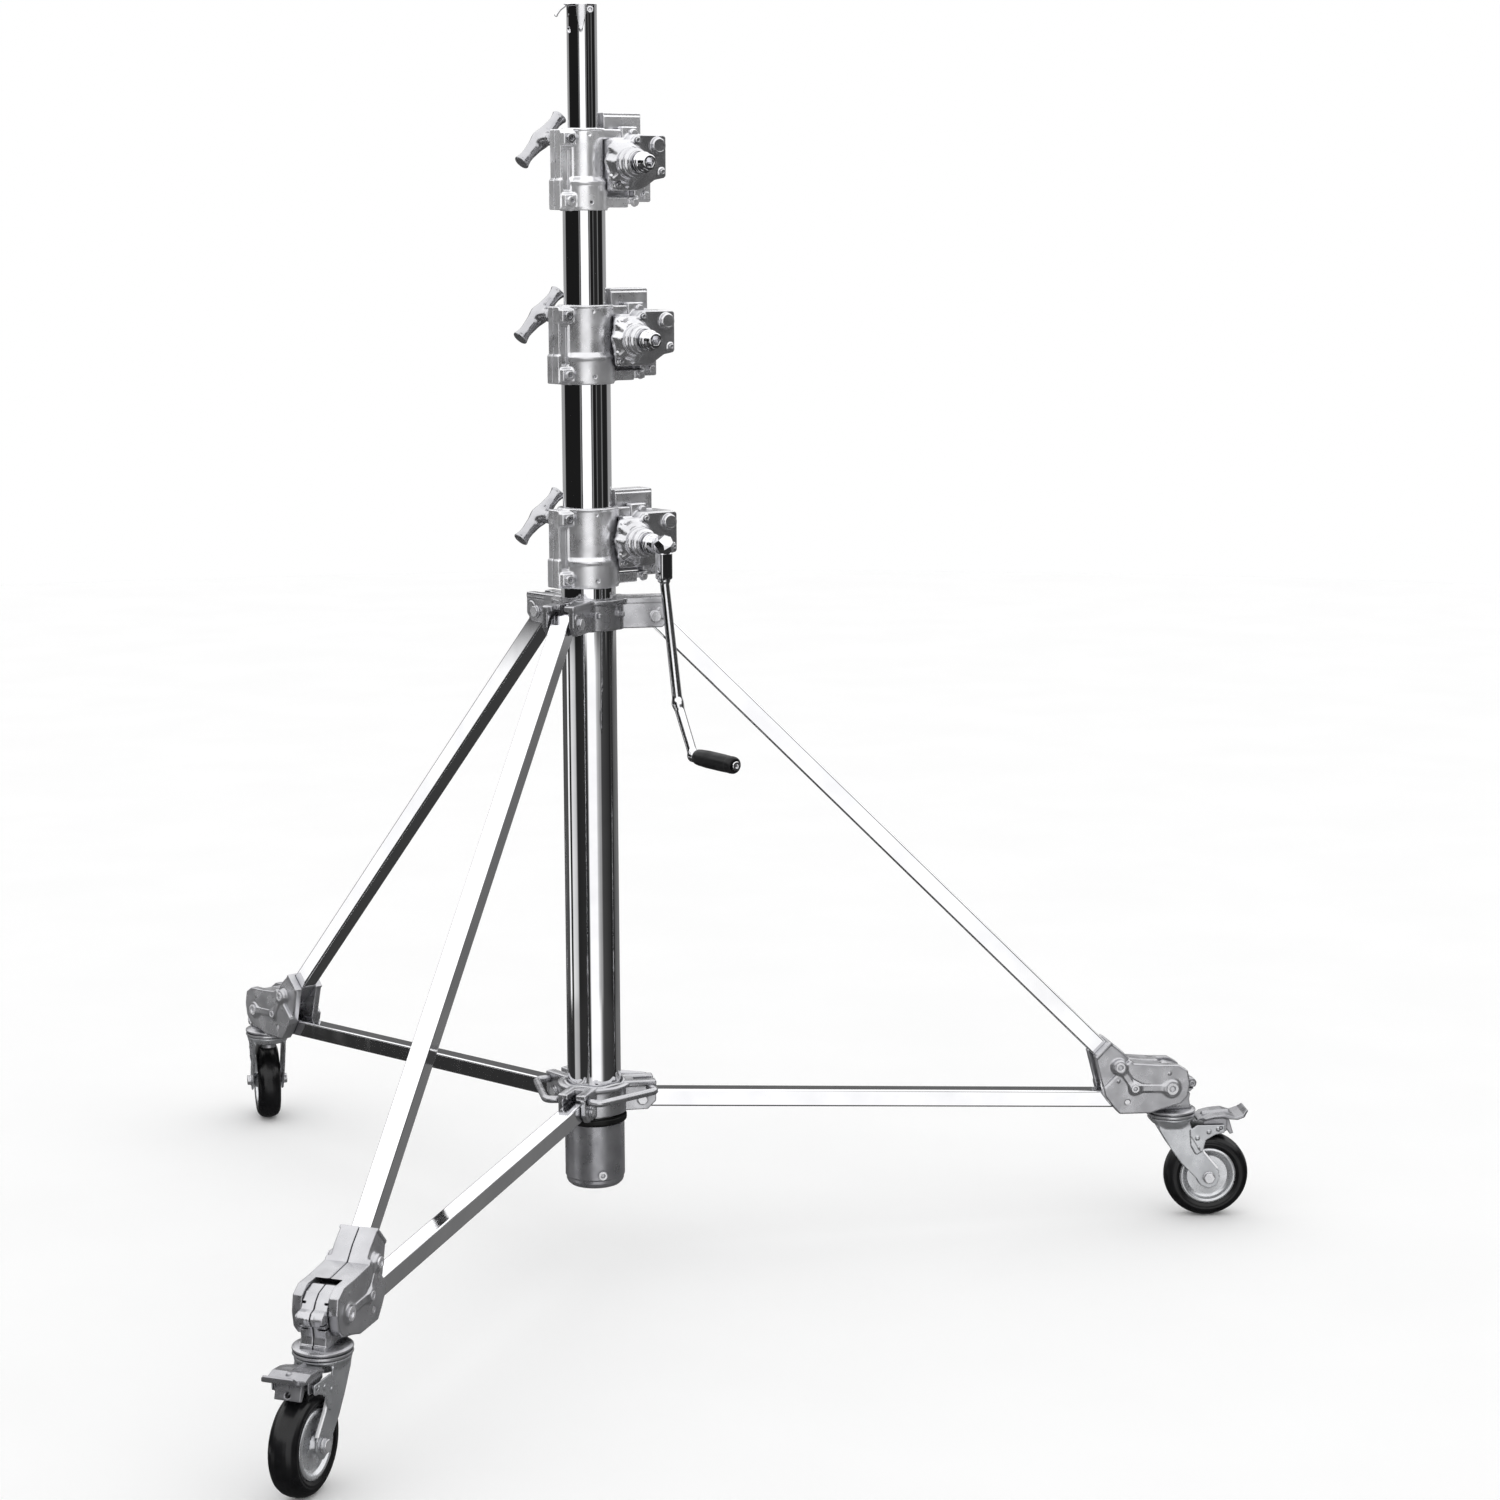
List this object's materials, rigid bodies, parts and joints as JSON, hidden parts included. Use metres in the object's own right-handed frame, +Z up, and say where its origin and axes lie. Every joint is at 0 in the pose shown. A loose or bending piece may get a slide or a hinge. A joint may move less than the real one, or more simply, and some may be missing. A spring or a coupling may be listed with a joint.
{
  "type": "wind-up lighting stand",
  "caption": "Crank-up lighting stand: telescoping geared mast with rack and pinion gearboxes, clamp handles and a folding braced tripod on braked castors.",
  "frame": {"origin": "on the mast axis, in the plane of the floor that the wheels stand on", "axes": "+Z up along the mast; +X along leg 1; the crank faces about 65 degrees clockwise of +X seen from above"},
  "size_m": [1.4866, 1.7174, 1.7504],
  "materials": {
    "polished_tube": "mirror polished chrome plate on steel tube",
    "polished_leg": "bright chrome plate on square steel tube",
    "satin_sleeve": "satin turned metal",
    "cast_aluminium": "tumbled and polished aluminium casting",
    "polished_casting": "polished aluminium casting",
    "chromed_forging": "chromed forging",
    "steel_bolts": "bright zinc plated fasteners",
    "zinc_steel": "bright zinc plated pressed steel",
    "zinc_hub": "zinc plated pressed wheel centre",
    "tyre_rubber": "semi-gloss black rubber",
    "bumper_rubber": "matt black rubber",
    "grip_plastic": "black moulded grip"
  },
  "bodies": {
    "mast": {"outer_tube": "polished_tube", "foot_sleeve": "satin_sleeve", "foot_bolt": "steel_bolts", "bumper_ring": "bumper_rubber", "leg_bracket": "cast_aluminium", "bracket_bolts": "steel_bolts", "clamp_collar_1": "cast_aluminium", "gearbox_housing_1": "cast_aluminium", "gearbox_cover_1": "cast_aluminium"},
    "riser_stage_1": {"riser_1": "polished_tube", "clamp_collar_2": "cast_aluminium", "gearbox_housing_2": "cast_aluminium", "gearbox_cover_2": "cast_aluminium"},
    "riser_stage_2": {"riser_2": "polished_tube", "clamp_collar_3": "cast_aluminium", "gearbox_housing_3": "cast_aluminium", "gearbox_cover_3": "cast_aluminium"},
    "riser_stage_3": {"riser_3": "polished_tube", "top_socket": "polished_tube", "spring_latch": "polished_tube"},
    "drive_shaft_1": {"drive_shaft_1": "chromed_forging"},
    "tee_handle_1": {"tee_handle_1": "polished_casting"},
    "drive_shaft_2": {"drive_shaft_2": "chromed_forging"},
    "tee_handle_2": {"tee_handle_2": "polished_casting"},
    "drive_shaft_3": {"drive_shaft_3": "chromed_forging"},
    "tee_handle_3": {"tee_handle_3": "polished_casting"},
    "crank": {"crank_arm": "chromed_forging"},
    "crank_grip": {"crank_grip": "grip_plastic"},
    "sliding_collar": {"lower_collar": "cast_aluminium", "lower_collar_bolts": "steel_bolts"},
    "brace_1": {"brace_1": "polished_leg"},
    "strut_1": {"strut_1": "polished_leg", "knuckle_shells_1": "cast_aluminium", "knuckle_bolts_1": "steel_bolts"},
    "caster_block_1": {"caster_block_1": "cast_aluminium"},
    "fork_1": {"fork_1": "zinc_steel", "axle_1": "steel_bolts"},
    "brake_pedal_1": {"brake_pedal_1": "zinc_steel"},
    "wheel_1": {"tyre_1": "tyre_rubber", "wheel_hub_1": "zinc_hub"},
    "brace_2": {"brace_2": "polished_leg"},
    "strut_2": {"strut_2": "polished_leg", "knuckle_shells_2": "cast_aluminium", "knuckle_bolts_2": "steel_bolts"},
    "caster_block_2": {"caster_block_2": "cast_aluminium"},
    "fork_2": {"fork_2": "zinc_steel", "axle_2": "steel_bolts"},
    "brake_pedal_2": {"brake_pedal_2": "zinc_steel"},
    "wheel_2": {"tyre_2": "tyre_rubber", "wheel_hub_2": "zinc_hub"},
    "brace_3": {"brace_3": "polished_leg"},
    "strut_3": {"strut_3": "polished_leg", "knuckle_shells_3": "cast_aluminium", "knuckle_bolts_3": "steel_bolts"},
    "caster_block_3": {"caster_block_3": "cast_aluminium"},
    "fork_3": {"fork_3": "zinc_steel", "axle_3": "steel_bolts"},
    "brake_pedal_3": {"brake_pedal_3": "zinc_steel"},
    "wheel_3": {"tyre_3": "tyre_rubber", "wheel_hub_3": "zinc_hub"}
  },
  "joints": [
    {"name": "riser_1_slide", "type": "slide", "parent": "mast", "child": "riser_stage_1", "axis": [0, 0, 1], "range_m": [0, 0.8]},
    {"name": "drive_shaft_1_spin", "type": "hinge", "parent": "mast", "child": "drive_shaft_1", "pos_m": [0.03867, 0.01778, 1.0251], "axis": [-0.4179, 0.9085, 0], "range_deg": [0, 4365.89]},
    {"name": "tee_handle_1_turn", "type": "hinge", "parent": "mast", "child": "tee_handle_1", "pos_m": [-0.06303, 0.02935, 1.0576], "axis": [-0.4179, 0.9085, 0], "range_deg": [0, 180]},
    {"name": "riser_2_slide", "type": "slide", "parent": "riser_stage_1", "child": "riser_stage_2", "axis": [0, 0, 1], "range_m": [0, 0.8]},
    {"name": "drive_shaft_2_spin", "type": "hinge", "parent": "riser_stage_1", "child": "drive_shaft_2", "pos_m": [0.03709, 0.01706, 1.3013], "axis": [-0.4179, 0.9085, 0], "range_deg": [0, 3395.8]},
    {"name": "tee_handle_2_turn", "type": "hinge", "parent": "riser_stage_1", "child": "tee_handle_2", "pos_m": [-0.0594, 0.03102, 1.3338], "axis": [-0.4179, 0.9085, 0], "range_deg": [0, 180]},
    {"name": "riser_3_slide", "type": "slide", "parent": "riser_stage_2", "child": "riser_stage_3", "axis": [0, 0, 1], "range_m": [0, 0.8]},
    {"name": "drive_shaft_3_spin", "type": "hinge", "parent": "riser_stage_2", "child": "drive_shaft_3", "pos_m": [0.03053, 0.01404, 1.5376], "axis": [-0.4179, 0.9085, 0], "range_deg": [0, 3056.28]},
    {"name": "tee_handle_3_turn", "type": "hinge", "parent": "riser_stage_2", "child": "tee_handle_3", "pos_m": [-0.05349, 0.03374, 1.5701], "axis": [-0.4179, 0.9085, 0], "range_deg": [0, 180]},
    {"name": "crank_pull_off", "type": "slide", "parent": "drive_shaft_1", "child": "crank", "axis": [0.4179, -0.9085, 0], "range_m": [0, 0.018]},
    {"name": "grip_spin", "type": "hinge", "parent": "crank", "child": "crank_grip", "pos_m": [0.14092, -0.19495, 0.7431], "axis": [-0.4179, 0.9085, 0], "continuous": true},
    {"name": "fold", "type": "slide", "parent": "mast", "child": "sliding_collar", "axis": [0, 0, 1], "range_m": [0, 0.3985]},
    {"name": "brace_1_hinge", "type": "hinge", "parent": "sliding_collar", "child": "brace_1", "pos_m": [0.066, 0, 0.228], "axis": [0, 1, 0], "range_deg": [0, 81.95]},
    {"name": "strut_1_hinge", "type": "hinge", "parent": "brace_1", "child": "strut_1", "pos_m": [0.7845, 0, 0.184], "axis": [0, 1, 0], "range_deg": [-40.48, 0]},
    {"name": "caster_block_1_hinge", "type": "hinge", "parent": "strut_1", "child": "caster_block_1", "pos_m": [0.8519, 0, 0.2014], "axis": [0, 1, 0], "range_deg": [-41.48, 0]},
    {"name": "caster_1_swivel", "type": "hinge", "parent": "caster_block_1", "child": "fork_1", "pos_m": [0.861, 0, 0.15], "axis": [0, 0, 1], "continuous": true},
    {"name": "wheel_1_spin", "type": "hinge", "parent": "fork_1", "child": "wheel_1", "pos_m": [0.91457, -0.00677, 0.0625], "axis": [0.1253, 0.9921, 0], "continuous": true},
    {"name": "brake_pedal_1_press", "type": "hinge", "parent": "fork_1", "child": "brake_pedal_1", "pos_m": [0.93045, -0.00877, 0.138], "axis": [0.1253, 0.9921, 0], "range_deg": [0, 19]},
    {"name": "brace_2_hinge", "type": "hinge", "parent": "sliding_collar", "child": "brace_2", "pos_m": [-0.033, 0.05716, 0.228], "axis": [-0.866, -0.5, 0], "range_deg": [0, 81.95]},
    {"name": "strut_2_hinge", "type": "hinge", "parent": "brace_2", "child": "strut_2", "pos_m": [-0.39225, 0.6794, 0.184], "axis": [-0.866, -0.5, 0], "range_deg": [-40.48, 0]},
    {"name": "caster_block_2_hinge", "type": "hinge", "parent": "strut_2", "child": "caster_block_2", "pos_m": [-0.42595, 0.73777, 0.2014], "axis": [-0.866, -0.5, 0], "range_deg": [-41.48, 0]},
    {"name": "caster_2_swivel", "type": "hinge", "parent": "caster_block_2", "child": "fork_2", "pos_m": [-0.4305, 0.74565, 0.15], "axis": [0, 0, 1], "continuous": true},
    {"name": "wheel_2_spin", "type": "hinge", "parent": "fork_2", "child": "wheel_2", "pos_m": [-0.43276, 0.7996, 0.0625], "axis": [-0.9991, -0.0419, 0], "continuous": true},
    {"name": "brake_pedal_2_press", "type": "hinge", "parent": "fork_2", "child": "brake_pedal_2", "pos_m": [-0.43343, 0.81559, 0.138], "axis": [-0.9991, -0.0419, 0], "range_deg": [0, 19]},
    {"name": "brace_3_hinge", "type": "hinge", "parent": "sliding_collar", "child": "brace_3", "pos_m": [-0.033, -0.05716, 0.228], "axis": [0.866, -0.5, 0], "range_deg": [0, 81.95]},
    {"name": "strut_3_hinge", "type": "hinge", "parent": "brace_3", "child": "strut_3", "pos_m": [-0.39225, -0.6794, 0.184], "axis": [0.866, -0.5, 0], "range_deg": [-40.48, 0]},
    {"name": "caster_block_3_hinge", "type": "hinge", "parent": "strut_3", "child": "caster_block_3", "pos_m": [-0.42595, -0.73777, 0.2014], "axis": [0.866, -0.5, 0], "range_deg": [-41.48, 0]},
    {"name": "caster_3_swivel", "type": "hinge", "parent": "caster_block_3", "child": "fork_3", "pos_m": [-0.4305, -0.74565, 0.15], "axis": [0, 0, 1], "continuous": true},
    {"name": "wheel_3_spin", "type": "hinge", "parent": "fork_3", "child": "wheel_3", "pos_m": [-0.45807, -0.79208, 0.0625], "axis": [0.8599, -0.5105, 0], "continuous": true},
    {"name": "brake_pedal_3_press", "type": "hinge", "parent": "fork_3", "child": "brake_pedal_3", "pos_m": [-0.46624, -0.80584, 0.138], "axis": [0.8599, -0.5105, 0], "range_deg": [0, 19]}
  ],
  "couplings": [
    {"joint": "drive_shaft_1_spin", "follows": "riser_1_slide", "rad_per_m": 95.238},
    {"joint": "drive_shaft_2_spin", "follows": "riser_2_slide", "rad_per_m": 74.074},
    {"joint": "drive_shaft_3_spin", "follows": "riser_3_slide", "rad_per_m": 66.667},
    {"joint": "brace_1_hinge", "follows": "fold", "rad_per_m": 3.5887},
    {"joint": "strut_1_hinge", "follows": "fold", "rad_per_m": -1.7726},
    {"joint": "caster_block_1_hinge", "follows": "fold", "rad_per_m": -1.8161},
    {"joint": "brace_2_hinge", "follows": "fold", "rad_per_m": 3.5887},
    {"joint": "strut_2_hinge", "follows": "fold", "rad_per_m": -1.7726},
    {"joint": "caster_block_2_hinge", "follows": "fold", "rad_per_m": -1.8161},
    {"joint": "brace_3_hinge", "follows": "fold", "rad_per_m": 3.5887},
    {"joint": "strut_3_hinge", "follows": "fold", "rad_per_m": -1.7726},
    {"joint": "caster_block_3_hinge", "follows": "fold", "rad_per_m": -1.8161}
  ]
}
